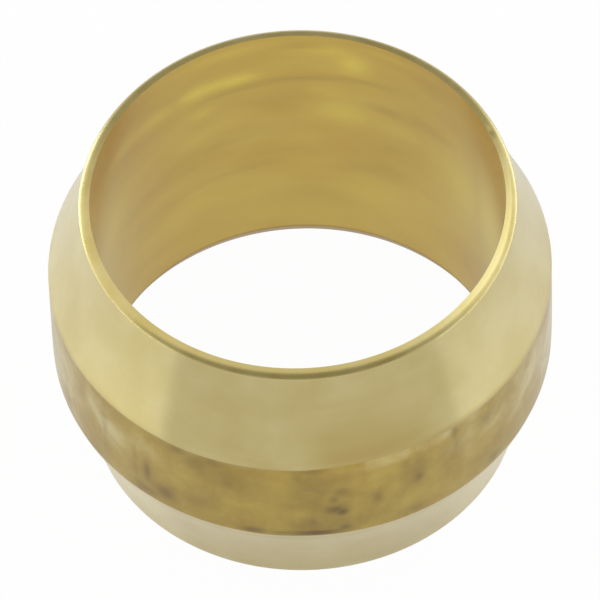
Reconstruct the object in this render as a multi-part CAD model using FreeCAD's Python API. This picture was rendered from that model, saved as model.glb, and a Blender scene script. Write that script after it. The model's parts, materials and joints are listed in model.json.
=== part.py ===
import FreeCAD, Part
import math
import os

# Compression olive for a metric tube: a soft brass ring that a nut squeezes onto the tube.
# It is turned in one piece from bar, so its whole form is one section spun about the bore's axis.
# Sizes are in millimetres. The ring stands on its lower end, with the bore along +Z.

# The tube and the bore that slips over it
tube_diameter = 10.0
slip_clearance = 0.05

# Wall left outside the bore: at the raised middle band and, before its outer edge is rounded, at each thin end
band_wall = 1.10
end_wall = 0.24

# Lengths along the axis: the band, and the flank on each side of it.
# Each flank is nearly a cone, hollowed a little at its middle.
band_width = 2.76
flank_length = 2.65
flank_hollow = 0.06

# Lead-in at the lower mouth of the bore, where the drill went in, and the width that it leaves of that end
lead_in_length = 0.32
lead_in_flat = 0.08

# Radii at the edges: the band's, each end's outer edge, and the bore's upper edge
band_edge_radius = 0.12
upper_edge_radius = 0.16
lower_edge_radius = 0.02
bore_edge_radius = 0.02

# Places that follow from the sizes above
bore_radius = tube_diameter / 2 + slip_clearance
band_radius = bore_radius + band_wall
end_radius = bore_radius + end_wall
band_bottom = flank_length
band_top = band_bottom + band_width
height = band_top + flank_length

AXIS_FOOT = FreeCAD.Vector(0, 0, 0)
AXIS_UP = FreeCAD.Vector(0, 0, 1)
FULL_TURN = 360


def place(radius, z):
    """A point of the half section, by its distance from the axis and its height."""
    return FreeCAD.Vector(radius, 0, z)


def line(start, end):
    return Part.LineSegment(start, end).toShape()


def arc(centre, start, end):
    """The shorter arc about a centre from one point to another."""
    to_middle = (start + end) * 0.5 - centre
    middle = centre + to_middle.normalize() * (start - centre).Length
    return Part.Arc(start, middle, end).toShape()


def flank(band_z, end_z, end_edge_radius):
    """A hollow flank between its two rounded edges, from the band to an end: its edges, first and last points."""
    way = math.copysign(1, end_z - band_z)
    band_corner = place(band_radius, band_z)
    end_corner = place(end_radius, end_z)
    chord = end_corner - band_corner
    outward = place(abs(chord.z), way * abs(chord.x)).normalize()
    hollow_radius = chord.Length ** 2 / (8 * flank_hollow) + flank_hollow / 2
    hollow_centre = (band_corner + end_corner) * 0.5 + outward * (hollow_radius - flank_hollow)

    # Each edge is rounded by a circle inside the metal, which touches the hollow and the flat surface beside it
    band_reach = hollow_radius + band_edge_radius
    band_round_radius = band_radius - band_edge_radius
    band_drop = math.sqrt(band_reach ** 2 - (hollow_centre.x - band_round_radius) ** 2)
    band_centre = place(band_round_radius, hollow_centre.z - way * band_drop)
    band_start = place(band_radius, band_centre.z)
    band_touch = band_centre + (hollow_centre - band_centre) * (band_edge_radius / band_reach)

    end_reach = hollow_radius + end_edge_radius
    end_round_z = end_z - way * end_edge_radius
    end_drop = math.sqrt(end_reach ** 2 - (hollow_centre.z - end_round_z) ** 2)
    end_centre = place(hollow_centre.x - end_drop, end_round_z)
    end_touch = end_centre + (hollow_centre - end_centre) * (end_edge_radius / end_reach)
    end_finish = place(end_centre.x, end_z)

    edges = [
        arc(band_centre, band_start, band_touch),
        arc(hollow_centre, band_touch, end_touch),
        arc(end_centre, end_touch, end_finish),
    ]
    return edges, band_start, end_finish


def olive():
    """The ring: its half section spun about the bore's axis."""
    lower_edges, band_foot, lower_flat_out = flank(band_bottom, 0, lower_edge_radius)
    upper_edges, band_head, upper_flat_out = flank(band_top, height, upper_edge_radius)
    lower_flat_in = place(end_radius - lead_in_flat, 0)
    bore_foot = place(bore_radius, lead_in_length)
    bore_head = place(bore_radius, height - bore_edge_radius)
    upper_flat_in = place(bore_radius + bore_edge_radius, height)
    bore_edge_centre = place(upper_flat_in.x, bore_head.z)

    edges = [line(band_foot, band_head)]
    edges += upper_edges
    edges.append(line(upper_flat_out, upper_flat_in))
    edges.append(arc(bore_edge_centre, upper_flat_in, bore_head))
    edges.append(line(bore_head, bore_foot))
    edges.append(line(bore_foot, lower_flat_in))
    edges.append(line(lower_flat_in, lower_flat_out))
    edges += reversed(lower_edges)
    return Part.Face(Part.Wire(edges)).revolve(AXIS_FOOT, AXIS_UP, FULL_TURN)


os.makedirs("parts", exist_ok=True)
olive().exportStep("parts/olive.step")
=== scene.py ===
import json
import math
import bmesh
import bpy
from mathutils import Matrix, Vector, noise


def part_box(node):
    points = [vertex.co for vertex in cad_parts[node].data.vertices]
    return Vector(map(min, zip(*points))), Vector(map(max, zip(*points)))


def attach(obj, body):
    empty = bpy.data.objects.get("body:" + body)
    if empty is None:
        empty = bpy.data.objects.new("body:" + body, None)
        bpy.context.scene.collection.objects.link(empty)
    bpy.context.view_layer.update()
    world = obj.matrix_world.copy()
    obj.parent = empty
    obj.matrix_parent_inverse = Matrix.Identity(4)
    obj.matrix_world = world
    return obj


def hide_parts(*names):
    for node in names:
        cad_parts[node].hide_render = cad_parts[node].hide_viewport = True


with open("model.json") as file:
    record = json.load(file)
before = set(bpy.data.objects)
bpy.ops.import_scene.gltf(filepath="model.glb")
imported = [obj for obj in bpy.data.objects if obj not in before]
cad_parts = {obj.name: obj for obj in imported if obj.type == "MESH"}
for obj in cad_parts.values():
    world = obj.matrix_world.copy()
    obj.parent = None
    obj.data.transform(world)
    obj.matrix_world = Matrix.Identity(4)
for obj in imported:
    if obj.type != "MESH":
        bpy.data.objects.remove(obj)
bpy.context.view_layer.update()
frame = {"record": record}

# Olive ring
# A loose compression olive: the soft brass ring that a nut squeezes onto a 10 mm tube. It is turned in one
# piece from drawn bar. The flanks, the ends and the bore are cut, and the middle band is the bar's own skin.
# Sizes are in millimetres, and a turn is in degrees round from the front, with right positive.

mm = 0.001
high_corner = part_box("olive")[1]
band_radius = high_corner[0] / mm
height = high_corner[2] / mm
mounts = {mount["name"]: mount for mount in frame["record"]["mounts"]}
bore_radius = mounts["tube_bore"]["dims"]["r_mm"]
end_wall = 0.24
end_radius = bore_radius + end_wall
flank_length = 2.65
flank_hollow = 0.06
band_bottom = flank_length
band_top = height - flank_length
band_edge_radius = 0.12
lower_edge_radius = 0.02
lead_in_length = 0.32
lead_in_flat = 0.08
# The upper end's face falls away from the bore into a wide round, its shoulder. At the shoulder's tilt
# a small edge takes over and meets the flank.
end_fall = math.radians(13)
shoulder_radius = 0.38
shoulder_tilt = math.radians(41)
upper_edge_radius = 0.05


def flank(band_z, end_z, end_edge_radius, round_radius, round_tilt, fall):
    """The arcs from the band to an end whose face falls away from the bore: centre, start and finish of each.

    They are the band's edge, the hollow flank, the end's edge, and a wider round from there to the face.
    """
    way = math.copysign(1, end_z - band_z)
    band_corner = Vector((band_radius, band_z))
    end_corner = Vector((end_radius, end_z))
    chord = end_corner - band_corner
    outward = Vector((abs(chord.y), way * abs(chord.x))).normalized()
    hollow_radius = chord.length ** 2 / (8 * flank_hollow) + flank_hollow / 2
    hollow = (band_corner + end_corner) / 2 + outward * (hollow_radius - flank_hollow)
    band_reach = hollow_radius + band_edge_radius
    band_drop = math.sqrt(band_reach ** 2 - (hollow.x - band_radius + band_edge_radius) ** 2)
    band_centre = Vector((band_radius - band_edge_radius, hollow.y - way * band_drop))
    band_touch = band_centre + (hollow - band_centre) * band_edge_radius / band_reach
    end_reach = hollow_radius + end_edge_radius
    end_up = Vector((math.sin(fall), way * math.cos(fall)))
    end_along = Vector((math.cos(fall), -way * math.sin(fall)))
    round_start = Vector((math.sin(round_tilt), way * math.cos(round_tilt)))
    wider = round_start * (round_radius - end_edge_radius)
    inside = Vector((bore_radius, end_z)) - end_up * round_radius + wider - hollow
    before = inside.dot(end_along)
    step = -before - math.sqrt(before ** 2 - inside.length_squared + end_reach ** 2)
    end_centre = hollow + inside + end_along * step
    end_touch = end_centre + (hollow - end_centre) * end_edge_radius / end_reach
    edge_finish = end_centre + round_start * end_edge_radius
    round_centre = end_centre - wider
    return (
        (band_centre, Vector((band_radius, band_centre.y)), band_touch),
        (hollow, band_touch, end_touch),
        (end_centre, end_touch, edge_finish),
        (round_centre, edge_finish, round_centre + end_up * round_radius),
    )


# Runs of the half section, anticlockwise from the foot of the bore. Each has its start and finish, the centre
# if it is an arc, its number of steps, and how its surface was made. The bore's mouth has finer steps.
REAMED, FACED, TURNED, DRAWN = range(4)
low_band_edge, low_hollow, low_end_edge = flank(
    band_bottom, 0, lower_edge_radius, lower_edge_radius, 0, 0)[:3]
top_band_edge, top_hollow, top_end_edge, shoulder = flank(
    band_top, height, upper_edge_radius, shoulder_radius, shoulder_tilt, end_fall)
mouth_length = 0.12
bore_foot = Vector((bore_radius, lead_in_length))
low_flat_in = Vector((end_radius - lead_in_flat, 0))
bore_head = Vector((bore_radius, height))
mouth_top = bore_foot + Vector((0, mouth_length))
runs = [
    (bore_foot, low_flat_in, None, 2, REAMED),
    (low_flat_in, low_end_edge[2], None, 1, FACED),
    (low_end_edge[2], low_end_edge[1], low_end_edge[0], 3, TURNED),
    (low_hollow[2], low_hollow[1], low_hollow[0], 14, TURNED),
    (low_band_edge[2], low_band_edge[1], low_band_edge[0], 4, DRAWN),
    (low_band_edge[1], top_band_edge[1], None, 48, DRAWN),
    (top_band_edge[1], top_band_edge[2], top_band_edge[0], 4, TURNED),
    (top_hollow[1], top_hollow[2], top_hollow[0], 20, TURNED),
    (top_end_edge[1], top_end_edge[2], top_end_edge[0], 4, TURNED),
    (shoulder[1], shoulder[2], shoulder[0], 6, FACED),
    (shoulder[2], bore_head, None, 3, FACED),
    (bore_head, mouth_top, None, 54, REAMED),
    (mouth_top, bore_foot, None, 3, REAMED),
]
section = []
for start, finish, centre, steps, surface in runs:
    for step in range(steps):
        point = start.lerp(finish, step / steps)
        if centre:
            point = centre + (point - centre).normalized() * (start - centre).length
        section.append((point, surface))
sharp_corners = (bore_foot, low_flat_in, bore_head)

# Small knocks on the upper end's face: turn, radius, half width round the ring and depth.
# All have the same half width across the face.
knocks = [
    (-64.6, 5.22, 0.12, 0.014), (160.5, 5.17, 0.11, 0.010),
    (130, 5.14, 0.14, 0.008), (112, 5.13, 0.13, 0.008),
]
knock_across = 0.06
# Shallow lines that chips scored round part of the bore as the reamer left: turn and height of a line's
# middle, how far it goes to each side in degrees, half width and depth. A line keeps its full depth over
# a share of its way, and it climbs with each degree as the reamer's feed did.
scores = [
    (180, 6.36, 42, 0.11, 0.008), (-157, 2.95, 24, 0.11, 0.004), (-163, 4.25, 14, 0.16, 0.003),
    (140, 5.6, 14, 0.16, 0.004), (158, 3.1, 12, 0.22, 0.004), (30, 5.2, 40, 0.13, 0.008),
    (-60, 3.4, 35, 0.13, 0.007), (80, 2.2, 30, 0.14, 0.006),
]
score_full_share = 0.3
score_climb = -0.0068
# The drawn skin waves by a few microns, with so many waves to a millimetre, and drops towards its edges
skin_wave = 0.004
waves_across = 1.2
waves_along = 0.8
skin_drop = 0.02
# Along part of the band's upper edge, wear has taken the corner off: turns between which it grows and dies
# away on the flank and on the band, and its depth and slope at the corner
flank_worn = (-4, 8, 18, 38)
skin_worn = (-4, 8, 56, 74)
worn_depth = 0.05
worn_slope = 0.3


def rise(value, start, finish):
    """Smooth step from 0 at start to 1 at finish."""
    share = min(1, max(0, (value - start) / (finish - start)))
    return share * share * (3 - 2 * share)


def wear(turn, turns):
    """How fully the band's upper edge is worn at a turn, from 0 to 1."""
    grows, full, fades, gone = turns
    return rise(turn, grows, full) * (1 - rise(turn, fades, gone))


def hump(distance, half_width):
    """Smooth bump of height 1 that falls away within about two half widths."""
    return math.exp(-(distance / half_width) ** 2)


def apart(turn, other, radius):
    """Distance in millimetres round the ring between two turns."""
    return abs((turn - other + 180) % 360 - 180) * math.pi / 180 * radius


def scoring_depth(turn, point):
    """How far the bore is scored there, in millimetres."""
    depth = 0
    for middle_turn, middle_height, reach, half_width, full_depth in scores:
        past = (turn - middle_turn + 180) % 360 - 180
        level = middle_height + score_climb * past
        kept = 1 - rise(abs(past), score_full_share * reach, reach)
        depth += full_depth * kept * hump(point.y - level, half_width)
    return depth


def surface_offset(surface, turn, point):
    """How far the real surface stands out of the ideal section there, in millimetres."""
    around = math.radians(turn)
    offset = 0
    if surface == REAMED:
        offset += scoring_depth(turn, point)
    if surface == DRAWN:
        wave_x = point.x * math.sin(around) * waves_across
        wave_y = -point.x * math.cos(around) * waves_across
        offset += skin_wave * noise.noise(Vector((wave_x, wave_y, point.y * waves_along)))
        offset -= skin_drop * ((point.y - height / 2) / (band_top - height / 2)) ** 4
    if surface in (DRAWN, TURNED):
        worn_radius = band_radius - worn_depth * wear(turn, flank_worn) - worn_slope * (point.y - band_top)
        offset -= max(0, point.x - worn_radius)
    if surface == FACED and point.y > height / 2:
        for knock_turn, knock_radius, half_width, depth in knocks:
            along = apart(turn, knock_turn, knock_radius)
            across = math.hypot(point.x - knock_radius, point.y - height)
            offset -= depth * hump(along, half_width) * hump(across, knock_across)
    return offset


# Dark marks on the drawn skin: turn, height, half width, half height and strength. Most are stains, but the
# thin ones along the band's lower edge at the front, between turns -41 and 49, are painted shade where that
# edge mirrors the floor in the ring's own shadow
stains_and_edge_shade = [
    (6.2, 3.68, 0.28, 0.22, 0.75), (7.6, 3.56, 0.18, 0.17, 0.85), (7.4, 4.38, 0.20, 0.20, 0.40),
    (5.8, 4.09, 0.13, 0.25, 0.45), (1.1, 3.24, 0.14, 0.20, 0.50), (1.9, 2.77, 0.75, 0.12, 0.85),
    (8.1, 2.90, 0.20, 0.16, 0.65), (-12.9, 2.79, 0.30, 0.11, 0.60), (-5.5, 2.77, 0.40, 0.10, 0.45),
    (0.5, 4.58, 0.50, 0.90, 0.28), (4.2, 3.12, 0.85, 0.40, 0.36), (0.2, 5.30, 0.42, 0.12, 0.45),
    (-2.1, 5.09, 0.20, 0.25, 0.30), (-26, 5.04, 0.38, 0.33, 0.38), (-21.8, 5.22, 0.28, 0.20, 0.38),
    (-30.2, 5.25, 0.30, 0.20, 0.35), (-16.5, 4.75, 0.80, 0.40, 0.15), (-18.2, 4.52, 0.20, 0.20, 0.25),
    (-39.2, 3.73, 0.10, 0.36, 0.55), (-34.1, 3.20, 0.26, 0.25, 0.50), (-40.1, 2.90, 0.36, 0.16, 0.50),
    (-25.3, 3.51, 0.38, 0.25, 0.20), (-52.3, 4.26, 0.08, 0.80, 0.25), (-42.7, 3.82, 0.08, 0.70, 0.25),
    (15.9, 3.86, 0.16, 0.25, 0.40), (26, 4.13, 0.14, 0.20, 0.50), (26.3, 4.52, 0.22, 0.55, 0.22),
    (22.8, 4.72, 0.17, 0.30, 0.28), (35.8, 5.20, 0.12, 0.25, 0.42), (36, 4.59, 0.14, 0.55, 0.24),
    (45.6, 4.73, 0.30, 0.20, 0.30), (34.3, 4.54, 0.40, 0.40, 0.20), (48.2, 2.90, 0.30, 0.16, 0.35),
    (24.8, 2.88, 0.32, 0.16, 0.25), (104, 4.4, 0.35, 0.5, 0.40), (118, 3.2, 0.10, 0.5, 0.45),
    (151, 3.7, 0.6, 0.35, 0.35), (171, 2.8, 0.9, 0.12, 0.60), (-162, 4.6, 0.12, 0.5, 0.45),
    (-140, 3.3, 0.4, 0.3, 0.45), (-118, 4.9, 0.5, 0.25, 0.35), (-86, 3.1, 0.3, 0.2, 0.40),
]
# Places on the band that are rubbed to clean yellow metal, in the same terms
rubs = [
    (-7.2, 4.57, 0.40, 1.00, 0.40), (-3.1, 3.55, 0.35, 0.25, 0.45), (14, 4.75, 0.9, 0.35, 0.4),
    (38, 4.5, 0.8, 1.2, 0.7), (60, 4.5, 1.6, 1.3, 0.95), (80, 4.1, 2.2, 1.6, 1.0), (52, 4.5, 1.2, 1.0, 0.75),
    (-40, 4.6, 0.8, 1.0, 0.65), (-53, 4.4, 1.2, 1.2, 1.0), (-77, 4.1, 2.2, 1.7, 1.0),
    (110, 5.2, 1.2, 0.4, 0.6), (140, 2.8, 1.0, 0.35, 0.6), (-120, 5.3, 1.4, 0.35, 0.7),
    (-160, 3.0, 1.2, 0.4, 0.5),
]
# Painted highlights in the bore: bright streaks, most of them just above a score line, in the same terms
highlight_streaks = [
    (-152, 6.68, 0.60, 0.24, 0.9), (-163, 6.62, 0.60, 0.18, 1.0), (-138, 6.62, 0.8, 0.26, 0.45),
    (-122, 6.7, 0.9, 0.3, 0.30), (163, 7.1, 0.42, 0.40, 0.8), (169, 7.5, 0.8, 0.22, 0.5),
    (-160, 7.75, 1.2, 0.16, 0.45), (150, 7.75, 1.2, 0.12, 0.3), (166, 5.1, 0.7, 0.45, 0.45),
    (171, 5.9, 0.6, 0.3, 0.25), (-153, 5.75, 0.35, 0.2, 0.35), (-150, 4.9, 0.7, 0.35, 0.25),
    (150, 5.0, 1.0, 0.3, 0.25), (-150, 2.2, 1.2, 0.4, 0.25), (160, 2.0, 1.2, 0.4, 0.2),
    (40, 5.5, 0.8, 0.3, 0.5), (-20, 3.2, 0.9, 0.25, 0.5), (80, 2.4, 0.7, 0.3, 0.4),
    (-75, 6.4, 0.9, 0.25, 0.5), (-157, 6.66, 1.0, 0.2, 0.9), (-113, 4.4, 1.1, 1.9, 0.45),
    (109, 4.6, 1.1, 1.9, 1.0), (124, 4.4, 1.2, 1.9, 0.6),
]
# Brown smears in the bore, in the same terms
smears = [
    (178, 7.68, 0.55, 0.12, 0.30), (153, 5.6, 0.55, 0.16, 0.35), (143, 5.75, 0.6, 0.2, 0.22),
    (154, 3.15, 0.6, 0.3, 0.18), (152, 4.1, 0.3, 0.2, 0.15), (-176, 5.4, 0.9, 0.5, 0.16),
    (-172, 4.5, 0.9, 0.35, 0.14), (176, 1.6, 1.2, 0.4, 0.12), (60, 4.5, 0.9, 0.3, 0.25),
    (-40, 5.8, 0.7, 0.2, 0.3), (10, 2.4, 1.0, 0.3, 0.2),
]
# The wear's shine on the band, at heights taken from the band's top: it comes in between two heights and laps
# over the edge. Over the worn corner the flank is painted a darker yellow, which fades up the flank in three
# stages: a share of it, and the heights where that dies away.
skin_shine = 0.75
skin_shine_heights = (-0.7, -0.15)
skin_lap = 0.03
flank_tone_reaches = ((0.35, 0.25, 0.6), (0.3, 0.7, 1.3), (0.35, 1.4, 2.3))
# How far below and above the band its marks run on over the flanks
marks_below = 0.3
marks_above = 2.4
# Painted shade in the bore: how dark a score line is painted at its deepest, and the lead-in's painted shade,
# which fades up the bore
score_shade = 0.35
deepest_score = 0.008
lead_in_shade = 0.8
lead_in_shade_fade = 0.1


def painted(marks, turn, point):
    """Strength from 0 to 1 of the strongest mark there."""
    strongest = 0
    for mark_turn, mark_height, half_width, half_height, strength in marks:
        along = apart(turn, mark_turn, point.x) / half_width
        up = (point.y - mark_height) / half_height
        strongest = max(strongest, strength * math.exp(-along ** 2 - up ** 2))
    return strongest


# The ring is a full turn of that section in fine steps
turn_steps = 600
ring = bmesh.new()
# Two marks are painted on the vertices: stains together with painted shade, and rubbed metal together with
# painted highlights
stain_and_shade_mark = ring.verts.layers.float.new("stain_and_shade_mark")
rub_and_highlight_mark = ring.verts.layers.float.new("rub_and_highlight_mark")
rows = []
for step in range(turn_steps):
    turn = 360 * step / turn_steps - 180
    around = math.radians(turn)
    row = []
    for index, (point, surface) in enumerate(section):
        along = section[(index + 1) % len(section)][0] - section[index - 1][0]
        outward = Vector((along.y, -along.x)).normalized()
        spot = point + outward * surface_offset(surface, turn, point)
        vertex = ring.verts.new(Vector((spot.x * math.sin(around), -spot.x * math.cos(around), spot.y)) * mm)
        if surface in (DRAWN, TURNED) and band_bottom - marks_below < point.y < band_top + marks_above:
            above_band = point.y - band_top
            # Stains, with painted shade in the thin marks along the band's lower edge at the front
            vertex[stain_and_shade_mark] = painted(stains_and_edge_shade, turn, point)
            if above_band < skin_lap:
                worn_skin = skin_shine * wear(turn, skin_worn) * rise(above_band, *skin_shine_heights)
                vertex[rub_and_highlight_mark] = max(painted(rubs, turn, point), worn_skin)
            else:
                # Over the worn corner and up the flank the metal is painted a darker yellow, fading in three
                # stages
                flank_tone = 0
                for share, fades, gone in flank_tone_reaches:
                    flank_tone += share * (1 - rise(above_band, fades, gone))
                vertex[rub_and_highlight_mark] = flank_tone * wear(turn, flank_worn)
        # In the bore the bright streaks are painted highlights, the score lines are painted darker as shade
        # in step with their depth, and the smears are dirt
        if surface == REAMED:
            darkened = score_shade * scoring_depth(turn, point) / deepest_score
            vertex[rub_and_highlight_mark] = painted(highlight_streaks, turn, point)
            vertex[stain_and_shade_mark] = max(painted(smears, turn, point), darkened)
        # The lead-in and the foot of the bore are painted dark as shade, where they mirror the floor in the
        # ring's own shadow
        if surface in (REAMED, FACED) and point.y < height / 2:
            lead_in_shading = lead_in_shade * (1 - rise(point.y, lead_in_length, lead_in_length + lead_in_shade_fade))
            vertex[stain_and_shade_mark] = max(vertex[stain_and_shade_mark], lead_in_shading)
        row.append(vertex)
    rows.append(row)
for step in range(turn_steps):
    row = rows[step]
    next_row = rows[(step + 1) % turn_steps]
    for index, (point, surface) in enumerate(section):
        ahead = (index + 1) % len(section)
        face = ring.faces.new((row[index], next_row[index], next_row[ahead], row[ahead]))
        face.material_index = surface
        face.smooth = True
        if point in sharp_corners:
            ring.edges.get((row[index], next_row[index])).smooth = False
bmesh.ops.recalc_face_normals(ring, faces=ring.faces)
olive_mesh = bpy.data.meshes.new("olive_ring")
ring.to_mesh(olive_mesh)
ring.free()
olive_ring = bpy.data.objects.new("olive_ring", olive_mesh)
bpy.context.scene.collection.objects.link(olive_ring)


def linear(hex_colour):
    """Linear RGBA of an sRGB hex colour."""
    channels = [int(hex_colour[place:place + 2], 16) / 255 for place in (1, 3, 5)]
    return tuple(c / 12.92 if c <= 0.04045 else ((c + 0.055) / 1.055) ** 2.4 for c in channels) + (1,)


def add_node(tree, kind, inputs, **settings):
    """Adds a node; an input that is given as a socket is linked, and any other is set as a value."""
    node = tree.nodes.new(kind)
    for name, value in settings.items():
        setattr(node, name, value)
    for name, value in inputs.items():
        if isinstance(value, bpy.types.NodeSocket):
            tree.links.new(value, node.inputs[name])
        else:
            node.inputs[name].default_value = value
    return node


def per_mm(across, along):
    """Mapping scale that makes one pattern cell so many millimetres across the ring and along its axis."""
    return (1 / (across * mm), 1 / (across * mm), 1 / (along * mm))


# Reamed brass, in the bore and its lead-in. The reamer leaves fine rings, and the far wall is a satin gold
# that deepens where one side of the bore mirrors the other. Bright streaks are painted on it as highlights,
# and its score lines and lead-in are painted darker as shade.
reamed = bpy.data.materials.new("brass_reamed")
reamed.use_nodes = True
tree = reamed.node_tree
tree.nodes.clear()
place = add_node(tree, "ShaderNodeTexCoord", {})
bright = add_node(tree, "ShaderNodeAttribute", {}, attribute_name="rub_and_highlight_mark")
dark = add_node(tree, "ShaderNodeAttribute", {}, attribute_name="stain_and_shade_mark")
streak_place = add_node(tree, "ShaderNodeMapping", {
    "Vector": place.outputs["Object"], "Scale": per_mm(3.4, 1.5)})
streaking = add_node(tree, "ShaderNodeTexNoise", {
    "Vector": streak_place.outputs["Vector"], "Scale": 1.0, "Detail": 2.0, "Roughness": 0.45})
ring_place = add_node(tree, "ShaderNodeMapping", {
    "Vector": place.outputs["Object"], "Scale": per_mm(5, 0.22)})
rings = add_node(tree, "ShaderNodeTexNoise", {
    "Vector": ring_place.outputs["Vector"], "Scale": 1.0, "Detail": 2.0, "Roughness": 0.5})
tone = add_node(tree, "ShaderNodeValToRGB", {"Fac": streaking.outputs["Fac"]})
tone.color_ramp.elements[0].position = 0.33
tone.color_ramp.elements[0].color = linear("#d8b656")
tone.color_ramp.elements[1].position = 0.66
tone.color_ramp.elements[1].color = linear("#e8cc67")
# Painted highlights: the bright streaks mix the bore's tone towards a pale yellow
rub_and_highlight_tone = add_node(tree, "ShaderNodeMix", {
    "Factor": bright.outputs["Fac"], "A": tone.outputs["Color"], "B": linear("#ffec70")}, data_type="RGBA")
# Painted shade in the score lines and on the lead-in, and brown smears, darken the tone
darkened = add_node(tree, "ShaderNodeMix", {
    "Factor": dark.outputs["Fac"], "A": rub_and_highlight_tone.outputs["Result"], "B": linear("#b2924c")}, data_type="RGBA")
gloss = add_node(tree, "ShaderNodeMapRange", {
    "Value": streaking.outputs["Fac"], "From Min": 0.3, "From Max": 0.7, "To Min": 0.28, "To Max": 0.34})
relief = add_node(tree, "ShaderNodeBump", {
    "Height": rings.outputs["Fac"], "Strength": 1.0, "Distance": 0.0008 * mm})
hoop = add_node(tree, "ShaderNodeTangent", {}, direction_type="RADIAL", axis="Z")
brass = add_node(tree, "ShaderNodeBsdfPrincipled", {
    "Base Color": darkened.outputs["Result"],
    "Metallic": 1.0,
    "Roughness": gloss.outputs["Result"],
    "Anisotropic": 0.7,
    "Anisotropic Rotation": 0.25,
    "Coat Weight": 0.75,
    "Coat Roughness": 0.3,
    "Sheen Weight": 0.12,
    "Sheen Roughness": 0.25,
    "Tangent": hoop.outputs["Tangent"],
    "Normal": relief.outputs["Normal"],
})
add_node(tree, "ShaderNodeOutputMaterial", {"Surface": brass.outputs["BSDF"]})

# Faced brass, on the ends. A parting tool leaves fine rings there, which spread light along the radius, so
# the upper end shows as a thin pale strip.
faced = bpy.data.materials.new("brass_faced")
faced.use_nodes = True
tree = faced.node_tree
tree.nodes.clear()
place = add_node(tree, "ShaderNodeTexCoord", {})
cloud = add_node(tree, "ShaderNodeTexNoise", {
    "Vector": place.outputs["Object"], "Scale": 1 / (0.8 * mm), "Detail": 2.0, "Roughness": 0.5})
tone = add_node(tree, "ShaderNodeValToRGB", {"Fac": cloud.outputs["Fac"]})
tone.color_ramp.elements[0].position = 0.35
tone.color_ramp.elements[0].color = linear("#d0be77")
tone.color_ramp.elements[1].position = 0.65
tone.color_ramp.elements[1].color = linear("#d8c887")
gloss = add_node(tree, "ShaderNodeMapRange", {
    "Value": cloud.outputs["Fac"], "From Min": 0.3, "From Max": 0.7, "To Min": 0.26, "To Max": 0.31})
hoop = add_node(tree, "ShaderNodeTangent", {}, direction_type="RADIAL", axis="Z")
brass = add_node(tree, "ShaderNodeBsdfPrincipled", {
    "Base Color": tone.outputs["Color"],
    "Metallic": 1.0,
    "Roughness": gloss.outputs["Result"],
    "Anisotropic": 0.5,
    "Anisotropic Rotation": 0.25,
    "Coat Weight": 0.4,
    "Coat Roughness": 0.2,
    "Tangent": hoop.outputs["Tangent"],
})
add_node(tree, "ShaderNodeOutputMaterial", {"Surface": brass.outputs["BSDF"]})

# Turned brass, on the flanks, still wet with a thin film of cutting oil. The tool's feed marks run round the
# ring and spread light up and down the flank, so side light ends in an upright edge. They are under 0.05 mm
# apart on the real ring and are drawn coarser here to show. The film pales the metal that is seen edge-on.
turned = bpy.data.materials.new("brass_turned")
turned.use_nodes = True
tree = turned.node_tree
tree.nodes.clear()
place = add_node(tree, "ShaderNodeTexCoord", {})
bright = add_node(tree, "ShaderNodeAttribute", {}, attribute_name="rub_and_highlight_mark")
feed_place = add_node(tree, "ShaderNodeMapping", {
    "Vector": place.outputs["Object"], "Scale": per_mm(8, 0.10)})
feed = add_node(tree, "ShaderNodeTexNoise", {
    "Vector": feed_place.outputs["Vector"], "Scale": 1.0, "Detail": 2.0, "Roughness": 0.5})
cloud = add_node(tree, "ShaderNodeTexNoise", {
    "Vector": place.outputs["Object"], "Scale": 1 / (1.2 * mm), "Detail": 3.0, "Roughness": 0.5})
tone = add_node(tree, "ShaderNodeValToRGB", {"Fac": cloud.outputs["Fac"]})
tone.color_ramp.elements[0].position = 0.35
tone.color_ramp.elements[0].color = linear("#c9b776")
tone.color_ramp.elements[1].position = 0.65
tone.color_ramp.elements[1].color = linear("#d1c185")
# Rubbed metal near the band's edge, and the darker yellow painted over the worn corner and up the flank
rub_and_highlight_tone = add_node(tree, "ShaderNodeMix", {
    "Factor": bright.outputs["Fac"], "A": tone.outputs["Color"], "B": linear("#bfa75d")}, data_type="RGBA")
gloss = add_node(tree, "ShaderNodeMapRange", {
    "Value": feed.outputs["Fac"], "From Min": 0.3, "From Max": 0.7, "To Min": 0.29, "To Max": 0.33})
relief = add_node(tree, "ShaderNodeBump", {
    "Height": feed.outputs["Fac"], "Strength": 1.0, "Distance": 0.001 * mm})
hoop = add_node(tree, "ShaderNodeTangent", {}, direction_type="RADIAL", axis="Z")
brass = add_node(tree, "ShaderNodeBsdfPrincipled", {
    "Base Color": rub_and_highlight_tone.outputs["Result"],
    "Metallic": 1.0,
    "Roughness": gloss.outputs["Result"],
    "Anisotropic": 1.0,
    "Anisotropic Rotation": 0.25,
    "Coat Weight": 1.0,
    "Coat Roughness": 0.3,
    "Sheen Weight": 0.3,
    "Sheen Roughness": 0.22,
    "Tangent": hoop.outputs["Tangent"],
    "Normal": relief.outputs["Normal"],
})
add_node(tree, "ShaderNodeOutputMaterial", {"Surface": brass.outputs["BSDF"]})

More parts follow.
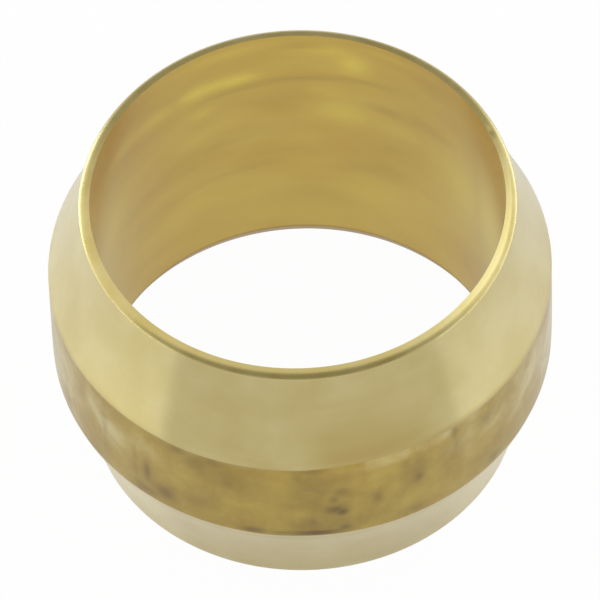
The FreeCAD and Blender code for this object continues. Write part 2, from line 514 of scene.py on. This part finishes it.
# Drawn brass, on the band: the bar's own skin, which the die left dull and slightly scored along the axis.
# It is patched with brown and olive tarnish, has a few dark stains and a thin painted shade along its lower
# edge at the front, and is rubbed clean in patches.
drawn = bpy.data.materials.new("brass_drawn")
drawn.use_nodes = True
tree = drawn.node_tree
tree.nodes.clear()
place = add_node(tree, "ShaderNodeTexCoord", {})
dark = add_node(tree, "ShaderNodeAttribute", {}, attribute_name="stain_and_shade_mark")
bright = add_node(tree, "ShaderNodeAttribute", {}, attribute_name="rub_and_highlight_mark")
patch_place = add_node(tree, "ShaderNodeMapping", {
    "Vector": place.outputs["Object"], "Scale": per_mm(0.9, 1.0)})
patches = add_node(tree, "ShaderNodeTexNoise", {
    "Vector": patch_place.outputs["Vector"],
    "Scale": 1.0,
    "Detail": 4.0,
    "Roughness": 0.55,
    "Distortion": 0.3,
})
score_place = add_node(tree, "ShaderNodeMapping", {
    "Vector": place.outputs["Object"], "Scale": per_mm(0.25, 4)})
scoring = add_node(tree, "ShaderNodeTexNoise", {
    "Vector": score_place.outputs["Vector"], "Scale": 1.0, "Detail": 2.0, "Roughness": 0.5})
blotch = add_node(tree, "ShaderNodeMath", {
    0: scoring.outputs["Fac"], 1: 0.12, 2: patches.outputs["Fac"]}, operation="MULTIPLY_ADD")
tone = add_node(tree, "ShaderNodeValToRGB", {"Fac": blotch.outputs["Value"]})
tone.color_ramp.elements[0].position = 0.40
tone.color_ramp.elements[0].color = linear("#a78b3a")
tone.color_ramp.elements[1].position = 0.74
tone.color_ramp.elements[1].color = linear("#b9a046")
olive_tone = tone.color_ramp.elements.new(0.56)
olive_tone.color = linear("#ae943f")
patchy = add_node(tree, "ShaderNodeMapRange", {
    "Value": patches.outputs["Fac"], "From Min": 0.35, "From Max": 0.65, "To Min": 0.6, "To Max": 1.2})
clean = add_node(tree, "ShaderNodeMath", {
    0: bright.outputs["Fac"], 1: patchy.outputs["Result"]}, operation="MULTIPLY", use_clamp=True)
polish = add_node(tree, "ShaderNodeValToRGB", {"Fac": clean.outputs["Value"]})
polish.color_ramp.elements[0].position = 0.4
polish.color_ramp.elements[0].color = linear("#bfa24a")
polish.color_ramp.elements[1].position = 0.9
polish.color_ramp.elements[1].color = linear("#cfbf82")
cleaned = add_node(tree, "ShaderNodeMix", {
    "Factor": clean.outputs["Value"],
    "A": tone.outputs["Color"],
    "B": polish.outputs["Color"],
}, data_type="RGBA")
# Stains darken the skin, and so does the painted shade along its lower edge at the front
stained = add_node(tree, "ShaderNodeMix", {
    "Factor": dark.outputs["Fac"],
    "A": cleaned.outputs["Result"],
    "B": linear("#5c4528"),
}, data_type="RGBA")
gloss = add_node(tree, "ShaderNodeMapRange", {
    "Value": patches.outputs["Fac"], "From Min": 0.3, "From Max": 0.7, "To Min": 0.48, "To Max": 0.38})
relief = add_node(tree, "ShaderNodeBump", {
    "Height": scoring.outputs["Fac"], "Strength": 1.0, "Distance": 0.002 * mm})
brass = add_node(tree, "ShaderNodeBsdfPrincipled", {
    "Base Color": stained.outputs["Result"],
    "Metallic": 1.0,
    "Roughness": gloss.outputs["Result"],
    "Coat Weight": 0.6,
    "Coat Roughness": 0.35,
    "Sheen Weight": 0.7,
    "Sheen Roughness": 0.22,
    "Normal": relief.outputs["Normal"],
})
add_node(tree, "ShaderNodeOutputMaterial", {"Surface": brass.outputs["BSDF"]})

# The materials stand in the order of the surfaces REAMED, FACED, TURNED and DRAWN
for brass_finish in (reamed, faced, turned, drawn):
    olive_mesh.materials.append(brass_finish)
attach(olive_ring, "root")
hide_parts("olive")

# Floor
# A sheet of white card under the ring. Most of its white is its own, and the rest is lit, which keeps a soft
# shadow. More of it is lit where metal mirrors it, so that the ring's foot mirrors its own shade.
floor_radius = 260 * mm
seen_share = 0.975
mirrored_share = 0.49
sheet = bmesh.new()
bmesh.ops.create_circle(sheet, cap_ends=True, segments=96, radius=floor_radius)
card_mesh = bpy.data.meshes.new("floor_card")
sheet.to_mesh(card_mesh)
sheet.free()
floor_card = bpy.data.objects.new("floor_card", card_mesh)
bpy.context.scene.collection.objects.link(floor_card)
card = bpy.data.materials.new("white_card")
card.use_nodes = True
tree = card.node_tree
tree.nodes.clear()
path = add_node(tree, "ShaderNodeLightPath", {})
straight = add_node(tree, "ShaderNodeMath", {
    0: path.outputs["Is Camera Ray"], 1: path.outputs["Is Transmission Ray"]}, operation="MAXIMUM")
seen = add_node(tree, "ShaderNodeMath", {0: straight.outputs[0], 1: seen_share}, operation="MULTIPLY")
mirrored = add_node(tree, "ShaderNodeMath", {
    0: path.outputs["Is Glossy Ray"], 1: mirrored_share}, operation="MULTIPLY")
own_share = add_node(tree, "ShaderNodeMath", {
    0: seen.outputs[0], 1: mirrored.outputs[0]}, operation="MAXIMUM")
matt = add_node(tree, "ShaderNodeBsdfDiffuse", {"Color": linear("#f4f4f2")})
own_white = add_node(tree, "ShaderNodeEmission", {"Color": (1, 1, 1, 1), "Strength": 1.0})
both = add_node(tree, "ShaderNodeMixShader", {
    0: own_share.outputs[0], 1: matt.outputs["BSDF"], 2: own_white.outputs["Emission"]})
add_node(tree, "ShaderNodeOutputMaterial", {"Surface": both.outputs["Shader"]})
card_mesh.materials.append(card)

# Studio light
# A white room that is dim in its upper front, where the camera stands, and low behind the ring. Low soft
# strips stand at both sides and a large panel hangs at the right. The flanks mirror them as upright bands.
low_behind = Vector((0, 0.927, 0.375))
world = bpy.data.worlds.new("studio")
bpy.context.scene.world = world
world.use_nodes = True
tree = world.node_tree
tree.nodes.clear()
direction = add_node(tree, "ShaderNodeTexCoord", {})
parts = add_node(tree, "ShaderNodeSeparateXYZ", {"Vector": direction.outputs["Generated"]})
front_half = add_node(tree, "ShaderNodeMapRange", {
    "Value": parts.outputs["Y"], "From Min": 0.06, "From Max": -0.12, "To Min": 0.0, "To Max": 1.0},
    interpolation_type="SMOOTHSTEP")
upper_part = add_node(tree, "ShaderNodeMapRange", {
    "Value": parts.outputs["Z"], "From Min": 0.5, "From Max": 0.7, "To Min": 0.0, "To Max": 1.0},
    interpolation_type="SMOOTHSTEP")
upper_front = add_node(tree, "ShaderNodeMath", {
    0: front_half.outputs["Result"], 1: upper_part.outputs["Result"]}, operation="MULTIPLY")
camera_level = add_node(tree, "ShaderNodeMapRange", {
    "Value": upper_front.outputs[0], "From Min": 0.0, "From Max": 1.0, "To Min": 0.95, "To Max": 0.3})
to_back = add_node(tree, "ShaderNodeVectorMath", {
    0: direction.outputs["Generated"], 1: low_behind}, operation="DOT_PRODUCT")
back_level = add_node(tree, "ShaderNodeMapRange", {
    "Value": to_back.outputs["Value"], "From Min": 0.82, "From Max": 0.92, "To Min": 1.0, "To Max": 0.37},
    interpolation_type="SMOOTHSTEP")
level = add_node(tree, "ShaderNodeMath", {
    0: camera_level.outputs["Result"], 1: back_level.outputs["Result"]}, operation="MULTIPLY")
room = add_node(tree, "ShaderNodeBackground", {"Color": linear("#fffdf8"), "Strength": level.outputs[0]})
add_node(tree, "ShaderNodeOutputWorld", {"Surface": room.outputs["Background"]})
# Each panel's name, its place to the side, its front, back, foot and top in millimetres, radiance and colour
for name, side, front, behind, foot, top, radiance, colour in (
    ("panel_left_front", -150, -106, 60, 0, 32, 3.4, "#e6efff"),
    ("panel_left_back", -150, 60, 240, 0, 44, 4.6, "#d8e6ff"),
    ("panel_right_low", 150, -92, 240, 0, 50, 2.3, "#ccdcff"),
    ("panel_right_high", 150, 60, 230, 180, 420, 1.35, "#d8e6ff"),
):
    lamp = bpy.data.lights.new(name, "AREA")
    lamp.shape = "RECTANGLE"
    lamp.color = linear(colour)[:3]
    lamp.size = (behind - front) * mm
    lamp.size_y = (top - foot) * mm
    lamp.energy = radiance * math.pi * lamp.size * lamp.size_y
    panel = bpy.data.objects.new(name, lamp)
    panel.location = Vector((side, (front + behind) / 2, (foot + top) / 2)) * mm
    panel.rotation_euler = Vector((side, 0, 0)).to_track_quat("Z", "Y").to_euler()
    bpy.context.scene.collection.objects.link(panel)

# Camera
# A long lens above the front of the ring, looking down and turned a little about its own line of sight.
elevation = math.radians(53.38)
roll = math.radians(-2.064)
camera_distance = 250 * mm
aim = Vector((-0.027, 0, 4.001)) * mm
pixels_per_mm = 40.776
frame_pixels = 600
back = Vector((0, -math.cos(elevation), math.sin(elevation)))
level_right = Vector((1, 0, 0))
level_up = back.cross(level_right)
view_right = math.cos(roll) * level_right + math.sin(roll) * level_up
view_up = math.cos(roll) * level_up - math.sin(roll) * level_right
lens = bpy.data.cameras.new("camera")
lens.sensor_width = 36
lens.lens = lens.sensor_width * pixels_per_mm * (camera_distance / mm) / frame_pixels
camera = bpy.data.objects.new("camera", lens)
stance = Matrix((view_right, view_up, back)).transposed().to_4x4()
camera.matrix_world = Matrix.Translation(aim + back * camera_distance) @ stance
bpy.context.scene.collection.objects.link(camera)
bpy.context.scene.camera = camera
bpy.context.scene.view_settings.view_transform = "Standard"
